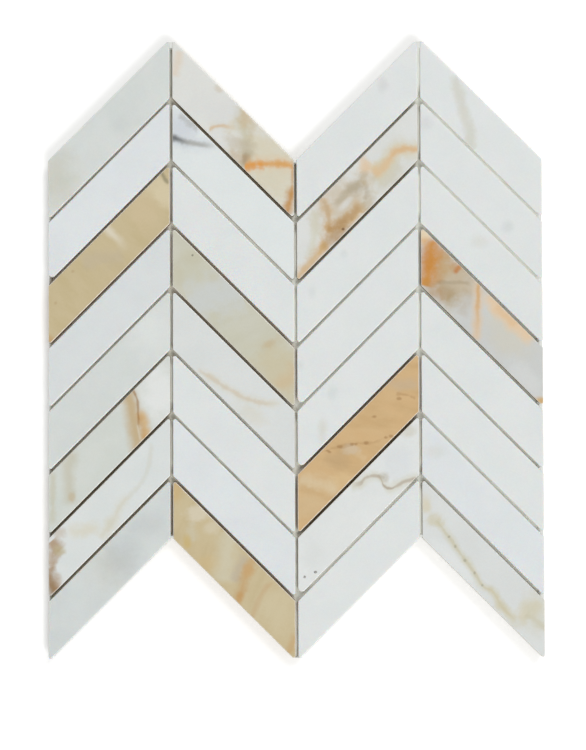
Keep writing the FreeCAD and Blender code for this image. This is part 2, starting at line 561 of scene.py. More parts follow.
# Faint marks in the white: piece, place, reach, colour and strength
SMUDGES = (
    ("marble_c1_r1", (-26, 1), (9, 12), OLIVE, 0.3),
    ("marble_c1_r1", (6, -4), (4, 4), SMOKE, 0.12),
    ("marble_c1_r5", (22, 2), (9, 12), "#E6E9E6", 0.5),
    ("marble_c1_r8", (-2, 3), (9, 9), OLIVE, 0.15),
    ("marble_c1_r8", (6, 1), (8, 11), SMOKE, 0.28),
    ("marble_c1_r8", (20, 3), (8, 5), SMOKE, 0.15),
    ("marble_c3_r1", (13, 9), (2, 3), SMOKE, 0.2),
    ("marble_c3_r3", (-7, 7), (1.5, 2), SMOKE, 0.15),
    ("marble_c3_r3", (-23, 4), (1.5, 3), SMOKE, 0.15),
    ("marble_c3_r4", (-29, 5), (1.5, 2), SMOKE, 0.15),
    ("marble_c3_r5", (-13, 6), (2, 3), SMOKE, 0.15),
    ("marble_c3_r5", (-18, -7), (2, 5), OLIVE, 0.25),
    ("marble_c4_r2", (13, -5), (2.5, 2.5), SMOKE, 0.2),
    ("marble_c4_r2", (-28, 6), (3, 3), SMOKE, 0.15),
    ("marble_c4_r3", (-1, 5), (4, 2.5), OLIVE, 0.15),
    ("marble_c4_r7", (-24, 3), (5, 2.5), OLIVE, 0.15),
)

for node in cells:
    if slots[node] == "white_marble":
        stone = start_marble(node, WHITE, *odd_tones.get(node, PLAIN_WHITE))
        for marked, at, reach, colour, strength in SMUDGES:
            if marked == node:
                stain(stone, at, reach, colour, strength, soft=SMUDGE_SOFT)
        if node == "marble_c4_r1":
            faint_course = [(-12.5, 16), (-11, 6), (-8, -1), (-5.5, -9), (-5, -16)]
            vein(stone, faint_course, 4.5, OLIVE, 0.3, (0.1, 0.02))
        if node in worn_left_tips:
            stone.tips[0] = WORN_RADIUS
        lay(stone, **WHITE_FINISH)

# Veined marble pieces
# The same stone cut where iron-stained veins cross the block, so amber and brown run through the white.
# They are sawn, eased and glued like the white pieces, and no two are alike.
VEINED = "honed veined marble"
# Its joint colour is painted shade on the walls in the joints, and its arris lightening is partly bruised
# stone, partly painted highlight
VEINED_FINISH = {"sawn": "#CFC9BA", "joint": "#83714F", "bruise_and_highlight": 0.5, "glow": 0.1, "glow_depth": 0.6}
AMBER = "#DE8F2A"
BURNT_AMBER = "#C88620"
RUST = "#BE701C"
OCHRE = "#BC8638"
GOLD = "#CBA25C"
PEACH = "#DDC09A"
TAN = "#BFA77C"
SAND = "#D2C8A8"
PALE_OLIVE = "#CCC8B0"
CREAM = "#DCD4C0"
DOVE = "#B6AA98"
SMOKY_BROWN = "#938468"
TOBACCO = "#A07840"
MUSHROOM = "#A08C78"
TAUPE = "#A89B80"
STRAW = "#CBC3A4"
BROWN = "#966C38"
UMBER = "#74522A"
MIST = "#CDD2D8"
PALE_GRAPHITE = "#A3A39C"
GRAPHITE = "#63676A"

# An amber tongue with a brown line in it, and tan lines at the left
stone = start_marble("marble_c1_r6", VEINED, "#D3D7D1", "#CED3CC")
stain(stone, (25, 2), (9, 13), "#E4E6E4", 0.85)
vein(stone, [(-28.5, 16), (-28.2, 0), (-28.5, -13)], 2.6, OLIVE, 0.4)
vein(stone, [(-17, 15), (-20, 9.5), (-20.5, 3), (-19.5, -4), (-20, -12)], 5.5, "#B6AA86", 0.4, ragged=0.3)
stain(stone, (-18.5, -8), (1.8, 2.2), TAN, 0.45)
vein(stone, [(8.5, 18), (10.5, 10), (12, 0), (13, -7), (14.5, -18)], 6.5, TAN, 0.9, (0.02, 0.02), 0.2)
vein(stone, [(14.5, 4), (16.5, -3), (18, -10), (19, -18)], 4.2, GOLD, 0.75, (0.25, 0.02), 0.3)
vein(stone, [(14, 3), (15.5, -4), (17, -11), (18, -18)], 2.2, OCHRE, 0.3, (0.25, 0.05))
vein(stone, [(11, 17), (13, 11), (14, 7), (14.5, -0.5), (14.5, -8)], 0.9, BROWN, 0.65, (0.02, 0.3), 0.4)
vein(stone, [(14, -4), (14.5, -8), (15.5, -14)], 0.8, CREAM, 0.4)
lay(stone, **VEINED_FINISH)

# Brown stains down the left end, and long faint veins that curve in from both sides
stone = start_marble("marble_c1_r7", VEINED, "#DBDFDD", "#D7DCDA")
vein(stone, [(-23, 11), (-12.5, 1), (-2.5, -6.5)], 5, SAND, 0.45, (0.3, 0.3))
far_course = [(21, 13), (20.5, 8), (19.5, 1.5), (16, -3.5), (11, -4.5), (6, -4.5), (1, -8.5), (-5.5, -11)]
vein(stone, far_course, 2, OLIVE, 0.2, (0.1, 0.1))
vein(stone, far_course[4:], 4.5, SAND, 0.28, (0.2, 0.1))
stain(stone, (0, -9), (3, 3), PALE_OLIVE, 0.2)
vein(stone, [(-29.5, 13), (-27, 8), (-24, 2)], 5.5, TOBACCO, 0.75, (0.1, 0.2), 0.3)
vein(stone, [(-25, 5), (-27, 1), (-29.5, -3)], 3.5, TOBACCO, 0.55)
stain(stone, (-25, 3.5), (2.5, 2.5), OLIVE, 0.6)
vein(stone, [(-30.5, 1), (-29.8, -5), (-28.5, -11), (-26, -17)], 5.5, "#94703C", 0.85, (0.1, 0.02), 0.3)
stain(stone, (-29.7, 4), (2, 4), TOBACCO, 0.5)
stain(stone, (-25, 12.5), (3, 2.5), "#B39A78", 0.4)
stain(stone, (-26, -11.5), (2.5, 4), TOBACCO, 0.45)
stain(stone, (-28.5, -12), (2.5, 4), UMBER, 0.3)
lay(stone, **VEINED_FINISH)

# A pale piece, sandy at the right, with an amber vein across that half and smears of tan above it
stone = start_marble("marble_c2_r1", VEINED, "#DDDED9", "#D9DAD7")
stain(stone, (20, 0), (23, 15), SAND, 0.68, -45)
vein(stone, [(-29.5, -4), (-28, 4), (-26.5, 14)], 4, PEACH, 0.4, ragged=0.3)
stain(stone, (-6.5, 14), (2.6, 1.8), TAN, 0.32)
hook = [(-12.5, -14), (-9.5, -8.5), (-6, -4.5), (-2, -1), (2.5, 3.5)]
vein(stone, hook, 4, SAND, 0.3)
vein(stone, hook, 1.6, "#CFAC80", 0.65, (0.1, 0.6), 0.3)
vein(stone, [(5, 17), (5.5, 8), (6.5, 0), (7, -8), (6, -14)], 6, OLIVE, 0.6, (0.02, 0.1), 0.3)
vein(stone, [(10.5, 17), (10, 10), (8.5, 2)], 3, TAN, 0.25, (0.02, 0.3))
stain(stone, (6, 12), (2.5, 5), GOLD, 0.3)
stain(stone, (3, -5), (3.5, 7), DOVE, 0.4, 70)
vein(stone, [(8, -2), (7, -7), (5, -15)], 4.5, SMOKY_BROWN, 0.35, (0.3, 0.1), 0.3)
stain(stone, (6.2, -9), (1.8, 2.2), BROWN, 0.45)
amber_course = [
    (5.5, -15), (7.5, -11), (9.2, -8.7), (12.2, -5.6), (15.2, -2.4),
    (18.2, 0.7), (21.2, 3.7), (24.2, 6.4), (27.2, 8.9), (30, 11),
]
vein(stone, amber_course, 6.5, PEACH, 0.5, (0.1, 0.02))
vein(stone, amber_course, 3.2, "#D49A4A", 0.85, (0.05, 0.02), 0.5)
vein(stone, amber_course[:6], 2.2, AMBER, 0.5, (0.1, 0.4), 0.5)
vein(stone, [(7, -12.5), (10, -9.5), (13, -6.7), (16.5, -3.5)], 2.2, "#D89038", 0.6)
stain(stone, (2, -12.5), (4, 2.5), "#B59A78", 0.4, -45)
vein(stone, [(30.3, 15), (30, 5), (29.5, -3)], 2, OCHRE, 0.6)
vein(stone, [(30, 2), (28.8, -6), (26.5, -16)], 4, OCHRE, 0.9, (0.3, 0.02), 0.3)
lay(stone, **VEINED_FINISH)

# A graphite vein that fades to the right, under a bluish shade
stone = start_marble("marble_c2_r2", VEINED, "#E0E5E4", "#DDE3E2")
stain(stone, (-26, 6), (7, 7), MIST, 0.85)
graphite_course = [(-32, -4), (-28, -1.5), (-24, 1), (-20, 4.5), (-15, 8.5), (-10, 13), (-6, 17)]
vein(stone, graphite_course, 6, MIST, 0.6, (0.02, 0.4))
vein(stone, graphite_course, 2.2, PALE_GRAPHITE, 0.8, (0.02, 0.4), 0.3)
vein(stone, graphite_course[:4], 3.3, GRAPHITE, 1.0, (0.02, 0.8), 0.3)
vein(stone, [(-28, 10.5), (-22, 13), (-16, 16)], 3, PALE_GRAPHITE, 0.45, (0.15, 0.15), 1.0)
lay(stone, **VEINED_FINISH)

# One soft tan vein along the piece, with a faint olive fan under it
stone = start_marble("marble_c2_r5", VEINED, "#DADDDB", "#D6DAD8")
stain(stone, (9, -8), (4, 8), SAND, 0.25, 60)
tan_course = [
    (-19.5, -14), (-14, -11), (-9, -9), (-4, -7.5), (0.5, -5.5), (5, -3.5),
    (9, -1), (13, 2), (17, 5.5), (21, 9.5), (26, 14),
]
vein(stone, tan_course, 4, SAND, 0.35, ragged=0.3)
vein(stone, tan_course, 1.8, "#C6B092", 0.38, (0.1, 0.3), 0.6)
lay(stone, **VEINED_FINISH)

# A peach band at the right, and clouds of tan, olive and brown in the left half
stone = start_marble("marble_c3_r2", VEINED, "#DCDEDB", "#D7D9D5")
stain(stone, (-7, 0), (14, 11), TAN, 0.52, 45)
stain(stone, (15, -6), (9, 6), OLIVE, 0.4, 45)
vein(stone, [(-22, 14), (-21, 4), (-22, -4), (-25, -10)], 4, PALE_OLIVE, 0.6, ragged=0.3)
bent_course = [(-18.5, 16), (-15.5, 7.5), (-14.3, 1), (-14.2, -4), (-15.8, -9), (-19, -14)]
vein(stone, bent_course, 4.6, GOLD, 0.45, (0.05, 0.1), 0.4)
vein(stone, bent_course, 2, BROWN, 0.2, (0.1, 0.1))
vein(stone, [(-15, -9), (-20, -11.5), (-25, -12.5), (-31, -13.5)], 5, GOLD, 0.7, (0.1, 0.02), 0.4)
vein(stone, [(-16, -5), (-9, -8), (-2.5, -9.5), (4, -9)], 6, GOLD, 0.65, (0.1, 0.2), 0.5)
vein(stone, [(-16, -4.5), (-9, -6.5), (-3, -8.5), (3, -8.5)], 3.6, BROWN, 0.35, (0.1, 0.2))
stain(stone, (-9, -11), (6, 3), BROWN, 0.3, 45)
vein(stone, [(-14, 7), (-9, 4.5), (-4.5, 4.5), (-0.5, 3), (3, 4), (6, 6)], 3, "#A39678", 0.45)
stain(stone, (-1.5, 3), (4, 3.5), TAUPE, 0.45)
vein(stone, [(3, 3), (4.5, -3), (4, -9)], 2.2, TAUPE, 0.45)
stain(stone, (-6, -0.5), (4, 1.6), "#DADCDA", 0.6, 45)
stain(stone, (5, 7), (4, 3), PEACH, 0.65)
vein(stone, [(2, 16), (4, 10), (6, 4)], 3.5, PEACH, 0.5, ragged=0.3)
peach_course = [(6, 3.5), (11.5, -1.2), (15.4, -0.5), (19.4, 0.5), (23.4, -2.2), (29.4, -8.7), (32, -11.5)]
vein(stone, peach_course, 8, SAND, 0.75, (0.1, 0.02), 0.3)
vein(stone, peach_course, 4, "#DAB88C", 0.7, (0.1, 0.02), 0.4)
vein(stone, peach_course[2:], 2.4, "#D2A062", 0.3, (0.2, 0.02), 0.4)
stain(stone, (-11.5, -11), (7, 3.5), "#AE8A56", 0.6, 45)
stain(stone, (5.5, -12), (4, 3), "#B5A27C", 0.5, 45)
stain(stone, (5, 1), (4, 3), "#C4B08C", 0.4)
stain(stone, (-7, -12), (0.8, 0.6), UMBER, 0.85)
lay(stone, **VEINED_FINISH)

# A fine brown vein in two waves near the right end, and two open pits at the left tip
stone = start_marble("marble_c3_r7", VEINED, "#E1E4E2", "#DDE0DE")
stain(stone, (20, 1), (7, 8), MIST, 0.3)
brown_course = [
    (-4.5, 14.5), (0.5, 11), (3.5, 10.5), (7.5, 7.5), (10.5, 4), (12, 0.5),
    (13, -3), (15.5, -6.5), (18.5, -8.5), (21.5, -10), (25.5, -12.5), (30, -16),
]
vein(stone, brown_course, 4.5, PALE_OLIVE, 0.55, (0.05, 0.02), 0.3)
vein(stone, brown_course, 1.4, MUSHROOM, 0.5, (0.2, 0.02), 0.5)
vein(stone, brown_course[5:9], 1.4, "#94806A", 0.4, ragged=0.5)
vein(stone, [(9.5, 6), (12, 2.5), (13.3, 0.5)], 1, MUSHROOM, 0.35)
stain(stone, (-23, -3), (5, 8), SMOKE, 0.12, soft=SMUDGE_SOFT)
stain(stone, (13, 1), (2.2, 2.6), "#B5AE98", 0.5)
stain(stone, (25, 12.5), (4, 3), "#C3BDA8", 0.45)
PIT_RADIUS = 0.5
PIT_DEPTH = 0.4
PIT_DARK = "#3C3C38"
for at in ((-27, -8), (-21.5, -11)):
    stone.pits.append((place_on(stone, at), PIT_RADIUS, PIT_DEPTH))
    # Each pit's spot is painted dark grey
    stain(stone, at, (0.7, 0.7), PIT_DARK, 0.95, soft=0.6)
stone.tips[0] = WORN_RADIUS
lay(stone, **VEINED_FINISH)

# Strong amber at the left, tan with brown lines beside it, and an amber vein down a grey ground
stone = start_marble("marble_c4_r4", VEINED, "#C8CAC8", "#CBCDCA")
stain(stone, (-14, 4), (11, 12), TAN, 0.7, -60)
stain(stone, (-28.5, 12), (4, 4.5), "#E6D0AA", 0.85)
vein(stone, [(-19.5, 17), (-20, 8), (-22, 0), (-25, -9)], 7, OCHRE, 0.45, (0.1, 0.1), 0.3)
block_course = [(-23.5, 17), (-25, 11), (-25.8, 3), (-27.3, -6.5), (-28.8, -14)]
stain(stone, (-18, 8), (4, 5), "#BC9650", 0.45)
vein(stone, block_course, 8, BURNT_AMBER, 0.95, (0.15, 0.05), 0.3)
vein(stone, [(-27, 7), (-27.5, 0), (-28.5, -7)], 3.5, RUST, 0.2, ragged=0.8)
vein(stone, [(-10, 16.5), (-12.5, 11), (-13.8, 7)], 2, "#B9783A", 0.9, (0.02, 0.3), 0.3)
stain(stone, (12, 3), (13, 8), SAND, 0.3, -45)
vein(stone, [(-24, -7.5), (-15, 2), (-5, 11.5)], 1.6, SMOKY_BROWN, 0.35)
stain(stone, (-17, -5), (6, 4), SMOKY_BROWN, 0.25)
stain(stone, (-18, -6), (3.4, 3), "#A98A58", 0.4)
stain(stone, (-23, -11), (6, 3.5), "#B08A58", 0.5, -45)
stain(stone, (-15, -7), (4, 3), "#A8946C", 0.4)
stain(stone, (-12, 14), (4, 2.5), "#C08850", 0.35)
vein(stone, [(-12, -12), (-8, -1), (-6, 8)], 6, DOVE, 0.35, ragged=0.3)
vein_course = [(-1, 17), (-1.5, 14), (-2, 4), (-2.3, -5), (-2.8, -16)]
vein(stone, vein_course, 4.5, PEACH, 0.7, (0.02, 0.1), 0.3)
vein(stone, vein_course, 1.8, "#CC9C58", 0.65, (0.02, 0.8), 0.4)
vein(stone, [(1, 13.5), (11, 12.5), (19, 13.5), (28, 15)], 7, "#E3C6A0", 0.85, ragged=0.3)
vein(stone, [(7, 13.5), (12.5, 12.5), (18, 13.5)], 3, "#D9A968", 0.3)
stain(stone, (21, -9), (10, 5), "#D8DAD8", 0.5, -45)
stain(stone, (29.5, -14), (3.5, 3), GOLD, 0.85)
lay(stone, **VEINED_FINISH)

# An olive vein with dark specks that runs down to a tan fan at the right end
stone = start_marble("marble_c4_r8", VEINED, "#D9DCDA", "#D6D9D7")
stain(stone, (-14, -11), (16, 4), "#E4E7E6", 0.5, -45)
stain(stone, (-28.5, 4), (2.4, 4), SAND, 0.65)
stain(stone, (-23.5, 0.5), (3.6, 3.2), STRAW, 0.65, ragged=0.8)
olive_course = [
    (-24, 0.5), (-21, 0), (-17.5, -1), (-13, -3), (-8, -5), (-4.5, -6.5),
    (-0.5, -8.5), (4.5, -7), (9, -9.5), (13, -10), (17, -9),
]
vein(stone, olive_course, 3.4, PALE_OLIVE, 0.65, (0.02, 0.1), 0.4)
vein(stone, olive_course, 1.2, OLIVE, 0.4, (0.05, 0.1), 0.6)
vein(stone, olive_course[6:], 4, STRAW, 0.6, (0.2, 0.1), 0.3)
for at in ((-17, -1), (-14, -2.8), (-9, -5), (-4.5, -6.5), (-0.5, -8.5)):
    stain(stone, at, (0.6, 0.6), "#7C7C66", 0.4)
vein(stone, [(17, -9), (21, -1), (26, 9), (28, 13)], 6, SAND, 0.6, ragged=0.5)
vein(stone, [(20, -3), (25, -0.5), (31, 1)], 2.6, OLIVE, 0.45, (0.1, 0.02))
stain(stone, (17, -10), (4, 3), "#C8C0A0", 0.3)
stain(stone, (26, 4), (6, 9), PALE_OLIVE, 0.6, soft=1.6)
lay(stone, **VEINED_FINISH)

# Honey marble pieces
# Pieces cut from the block's stained crust, where the iron has coloured the whole stone tan or orange.
# They are denser and less milky than the white, and were sawn and honed with it.
HONEY = "honed honey marble"
# Its joint colour is painted shade on the walls in the joints, and its arris lightening is partly bruised
# stone, partly painted highlight
HONEY_FINISH = {"sawn": "#B8A078", "joint": "#8A5E2C", "bruise_and_highlight": 0.8, "glow": 0.0, "glow_depth": 0.5}
BAND_STRETCH = 3.0
BAND_EDGE = 0.4
PALE_SPOT = "#D6CDB6"


def bands(stone, spacing, turn, colour, strength):
    """Soft bands of another tone through the whole piece, drawn out in the direction of the turn."""
    tree = stone.tree
    drawn = add(
        tree, "Mapping",
        {
            "Vector": stone.slab,
            "Rotation": (0, 0, math.radians(turn)),
            "Scale": (BAND_STRETCH * spacing, spacing, spacing),
        },
        vector_type="TEXTURE",
    ).outputs[0]
    amount = add(tree, "TexNoise", {"Vector": drawn, "Scale": 1.0, "Detail": 3.0}).outputs["Fac"]
    amount = add(
        tree,
        "MapRange",
        {"Value": amount, "From Min": BAND_EDGE, "From Max": NOISE_HIGH, "To Max": strength},
        interpolation_type="SMOOTHSTEP",
    ).outputs[0]
    tint(stone, amount, colour)


# Tan with a pale streak, a paler right end and an orange left tip
stone = start_marble("marble_c1_r3", HONEY, "#C3B38C", "#C6B690")
bands(stone, 6, -40, "#B9A878", 0.35)
vein(stone, [(-15, 11), (-6, 4), (2, -4), (9, -12)], 7, DOVE, 0.3)
stain(stone, (18, 4), (7, 10), "#CFBC98", 0.45)
stain(stone, (28, 3), (5.5, 12), "#DACEAE", 0.6, 60)
vein(stone, [(-2, 16), (1.5, 9), (4.5, 3.5), (7.5, -3), (10, -10)], 3.6, CREAM, 0.85, (0.02, 0.8), 0.2)
vein(stone, [(26, 16), (28, 10), (30, 5)], 1.7, "#7F795C", 0.7, (0.02, 0.2))
for at in ((-27, 3), (-18, 10)):
    stain(stone, at, (0.7, 0.7), BROWN, 0.25)
stain(stone, (-30, -13), (2.5, 3), OCHRE, 0.45)
lay(stone, **HONEY_FINISH)

# Greenish grey at the left, a grey band in the middle, tan and gold at the right
stone = start_marble("marble_c2_r4", HONEY, "#C7C6B3", "#C9C8B8")
bands(stone, 6, 20, "#BDBAA4", 0.25)
vein(stone, [(-21, -17), (-13, -3), (-6, 6), (3, 17)], 17, "#C9CDCB", 0.85, (0.02, 0.02))
stain(stone, (24, -4), (15, 12), "#C8BE9E", 0.75, -45)
vein(stone, [(13, -3), (17, 3), (21, 9), (24, 15)], 4, "#BFA676", 0.2, ragged=0.3)
stain(stone, (18, 5), (3.4, 1.6), "#BCA070", 0.3, 30)
vein(stone, [(31, 8), (29.5, 0), (26, -6), (22, -14)], 7, "#CDB084", 0.45, ragged=0.3)
stain(stone, (-22, 8), (5, 4), OLIVE, 0.2)
stain(stone, (-10, 10), (3, 2.5), OLIVE, 0.2)
stain(stone, (-28, -7), (3, 5), OLIVE, 0.25)
stain(stone, (-20.5, 10.5), (0.4, 0.4), "#4E4E40", 0.6)
lay(stone, **HONEY_FINISH)

# Tan with pale spots and gold patches, and orange-brown veins in the middle
stone = start_marble("marble_c2_r8", HONEY, "#C8B993", "#C6B58E")
bands(stone, 6, 70, "#BBA97E", 0.4)
stain(stone, (-29, 12), (4, 7), GOLD, 0.38)
stain(stone, (-17.5, 10.5), (6, 3.5), PALE_SPOT, 0.75, ragged=0.8)
stain(stone, (-11, 10.5), (4, 3), PALE_SPOT, 0.5)
vein(stone, [(-21, 4), (-21, -1), (-20.5, -7)], 4, "#C9C3AC", 0.5)
stain(stone, (-23.5, -9.5), (2, 3), "#C4A654", 0.5)
stain(stone, (-12, -9), (6, 4), "#CBB07A", 0.45)
vein(stone, [(-1.5, 17), (-3.5, 4), (-5, -6), (-6.5, -14)], 9, "#CDC7AE", 0.75, (0.02, 0.15), 0.3)
vein(stone, [(6, 14), (3.5, 6.5), (1.5, 0), (0, -7)], 4.5, DOVE, 0.55)
orange_course = [(11, 17), (9, 12.5), (6.5, 5.5), (4.5, -2.5), (2.5, -10.5), (1, -16)]
vein(stone, orange_course, 4.5, OCHRE, 0.42, (0.02, 0.02), 0.6)
stain(stone, (6.5, 6), (2.6, 3.6), "#C99A58", 0.32, ragged=0.8)
stain(stone, (2.5, -11), (1.4, 2.6), OCHRE, 0.4)
thin_course = [(20, 15), (14.5, 3.5), (12, -3.5), (9.5, -12), (8.5, -15)]
vein(stone, thin_course, 2.2, "#B98A54", 0.32, (0.2, 0.02), 0.6)
stain(stone, (21, 0), (10, 9), SAND, 0.4, -45)
vein(stone, [(30.5, 0), (28.8, -8), (26.5, -15)], 3.2, OCHRE, 0.35, (0.3, 0.02))
lay(stone, **HONEY_FINISH)

# Orange-tan with cloudy patches, broken brown lines and paler streaks
stone = start_marble("marble_c3_r6", HONEY, "#CEAD7D", "#CFAC7A")
bands(stone, 6, -8, "#B99864", 0.4)
bands(stone, 4, -12, "#D2B586", 0.3)
stain(stone, (-11, 2.5), (6, 4), "#B79A70", 0.45)
stain(stone, (-25, -5), (8, 6), "#CFB890", 0.5)
stain(stone, (-8, -11.5), (6, 4), "#DCC090", 0.5)
streak_course = [(-31, 12), (-29, 10.5), (-22, 2.5), (-14.5, -7.5), (-8.5, -14.5)]
vein(stone, streak_course, 6, "#D9C8A6", 0.6, (0.1, 0.2), 0.4)
stain(stone, (-2.5, -1), (4, 2.6), "#CFC4B0", 0.45, ragged=0.8)
vein(stone, [(-1, -4), (1.5, -8), (4, -12.5)], 3.4, "#D8BE94", 0.4, ragged=0.4)
vein(stone, [(14, 17), (20, 9), (26, 3), (31, -2)], 4.5, DOVE, 0.35)
brown_line = [(-20, 15), (-16, 12.5), (-10, 8), (-3, 2.5), (6, -6), (12, -10), (17, -13.5)]
vein(stone, brown_line, 1, BROWN, 0.22, (0.1, 0.3), 1.2)
for at in (
    (-15.5, 12), (-14.5, 10.3), (-9.5, 8), (-3, 2.5), (-1, 0.3),
    (4, -4), (8, 5), (14, -11), (16.5, -13), (20.5, 1.5),
):
    stain(stone, at, (1.1, 0.7), BROWN, 0.55, ragged=0.8)
vein(stone, [(18.5, 6), (23, 1), (29, -7)], 1.2, BROWN, 0.35, (0.1, 0.1), 0.9)
lay(stone, **HONEY_FINISH)

# Glue in the joints
# White mosaic glue, squeezed up between the pieces when they were pressed onto the net.
# It closes most joints' outer ends, rose high between most pieces and stayed low beside the stained ones.
GLUE_STEP = 1.0
GLUE_FOOT = 0.45
GLUE_BITE = 0.05
GLUE_MARGIN = 0.4
PEAK_HALF = 1.5
NOTCH_HALF = 0.7
NOTCH_REACH = 0.9
GLUE_LUMP = 0.4
GLUE_LUMP_LENGTH = 6.0
END_RISE = 9.9
END_LENGTHS = {"left": 0.9, "right": 2.8, "top": 4.0, "bottom": 1.2, "notch": 2.0}
END_RAMP = 1.0

# Height of the glue where joints meet, by column joint, and the lengths over which it leaves that height
JUNCTION_RISE = {1: 6.3, 2: 6.8, 3: 7.0}
JUNCTION_LENGTH = 4.5
JUNCTION_FLAT = 0.5
BED_CLIMB = 7.0
HALF_JOINT = 0.6
TURN_SLACK = 0.01

# How high the glue stands, in mm above the floor, from the top: bed joints of each column, then column joints
BED_RISE = {
    1: (6.1, 5.8, 6.1, 6.3, 5.8, 4.5, 5.2),
    2: (4.3, 8.4, 5.1, 4.6, 7.2, 6.7, 4.9),
    3: (6.2, 5.1, 6.8, 7.0, 4.1, 2.5, 8.6),
    4: (8.5, 8.5, 6.8, 6.8, 6.8, 7.4, 7.6),
}
COLUMN_RISE = {
    1: (6.8, 6.5, 6.8, 6.3, 7.0, 8.2, 7.9, 5.7),
    2: (6.1, 8.6, 7.5, 7.0, 8.2, 5.9, 7.3, 7.9),
    3: (9.1, 8.6, 8.6, 7.2, 8.1, 7.5, 8.4, 8.6),
}

# The net's outline turns at the same places above and below, so two heights at each of them give it
net_corners = np.array([vertex.co for vertex in frame["nodes"]["backing_net"].data.vertices]) / MM
net_turns = np.unique(net_corners[:, 0].round(3))
at_turn = [net_corners[np.abs(net_corners[:, 0] - turn) < TURN_SLACK, 1] for turn in net_turns]
net_low = np.array([heights.min() for heights in at_turn])
net_high = np.array([heights.max() for heights in at_turn])

# Where the column joints end, at the sheet's peaks and notches, and how far in the glue closes them
joint_ends = []


def grown(turns, heights, growth, side):
    """A zigzag edge of the net moved outward, above (side 1) or below (side -1), and flat in the joints."""
    moved = heights + side * growth / math.cos(LEAN)
    places = [(turns[0] - growth, heights[0])]
    for number in range(1, len(turns) - 1):
        if side * (heights[number] - heights[number + 1]) > 0:
            half = PEAK_HALF
            reach = -PEAK_HALF * math.tan(LEAN)
            length = END_LENGTHS["top" if side > 0 else "bottom"]
        else:
            half = NOTCH_HALF
            reach = NOTCH_REACH
            length = END_LENGTHS["notch"]
        end = moved[number] + side * reach
        places += [(turns[number] - half, end), (turns[number] + half, end)]
        joint_ends.append((turns[number], end, length))
    places.append((turns[-1] + growth, heights[-1]))
    return np.array(places)


sheet_edge = Vector(cad_box[1]).x / MM
growth = sheet_edge - net_turns[-1] - GLUE_MARGIN
glue_low = grown(net_turns, net_low, growth, -1)
glue_high = grown(net_turns, net_high, growth, 1)
glue_edge = glue_high[-1, 0]

# The glue is what the zigzag holds besides the pieces, which it bites a little
outlines = [[Vector(corner) for corner in (*glue_low, *glue_high[::-1])]]
for node in cells:
    middle = corners_of(node)[0].xy
    outlines.append([
        middle + place - outward * GLUE_BITE
        for place, outward, _ in piece_outline(node, laid_tips[node], GLUE_STEP)
    ])
places = []
polygons = []
for outline in outlines:
    polygons.append(list(range(len(places), len(places) + len(outline))))
    places += outline
points, _, triangles, _, _, sources = delaunay_2d_cdt(places, [], polygons, 0, 1e-6)
triangles = [triangle for triangle, source in zip(triangles, sources) if list(source) == [0]]
points = np.array([tuple(point) for point in points])
triangles = np.array([tuple(triangle) for triangle in triangles])
used, triangles = np.unique(triangles, return_inverse=True)
triangles = triangles.reshape(-1, 3)
points = points[used]

# Each place takes the height of its bed joint or, near a column joint, of that one beside its row
middles = {cell: corners_of(node)[0] for node, cell in cells.items()}
column_pitch = middles[2, 1].x - middles[1, 1].x
row_pitch = middles[1, 1].y - middles[1, 2].y
level = []
wiped = []
for x, y in points:
    column = min(max(round((x - middles[1, 1].x) / column_pitch) + 1, 1), columns)
    climb = math.tan(LEAN) if column % 2 == 1 else -math.tan(LEAN)
    upright = y - climb * (x - middles[column, 1].x)
    downward = (middles[1, 1].y - upright) / row_pitch
    bed = min(max(round(downward + 0.5), 1), rows - 1)
    row = min(max(round(downward) + 1, 1), rows)
    boundary = min(max(round((x - middles[1, 1].x) / column_pitch + 0.5), 1), columns - 1)
    to_junction = abs(downward + 0.5 - bed) * row_pitch
    share = min(max(to_junction / JUNCTION_LENGTH - JUNCTION_FLAT, 0), 1)
    between_columns = COLUMN_RISE[boundary][row - 1] * share + JUNCTION_RISE[boundary] * (1 - share)
    off_column = abs(x - middles[1, 1].x - (boundary - 0.5) * column_pitch)
    share = min(max((off_column - HALF_JOINT) / BED_CLIMB, 0), 1)
    height = BED_RISE[column][bed - 1] * share + between_columns * (1 - share)
    past = [x + END_LENGTHS["right"] - glue_edge, END_LENGTHS["left"] - glue_edge - x]
    past += [length - abs(y - end) for turn, end, length in joint_ends if abs(x - turn) < PEAK_HALF]
    closed = min(max(max(past) / END_RAMP, 0), 1)
    height += GLUE_LUMP * noise.noise((x / GLUE_LUMP_LENGTH, y / GLUE_LUMP_LENGTH, 0))
    level.append(height + (END_RISE - height) * closed)
    wiped.append(closed)

count = len(points)
sides = {}
for triangle in triangles:
    for number in range(3):
        sides[(triangle[number], triangle[(number + 1) % 3])] = True
walls = [(a, b) for a, b in sides if (b, a) not in sides]
vertices = [(x * MM, y * MM, z * MM) for (x, y), z in zip(points, level)]
vertices += [(x * MM, y * MM, GLUE_FOOT * MM) for x, y in points]
faces = [tuple(triangle) for triangle in triangles]
faces += [tuple(count + triangle[::-1]) for triangle in triangles]
faces += [(b, a, count + a, count + b) for a, b in walls]
mesh = bpy.data.meshes.new("joint_glue")
mesh.from_pydata(vertices, [], [tuple(int(number) for number in face) for face in faces])
mesh.validate()
shares = mesh.attributes.new("wiped", "FLOAT", "POINT")
shares.data.foreach_set("value", [float(share) for share in wiped + wiped])
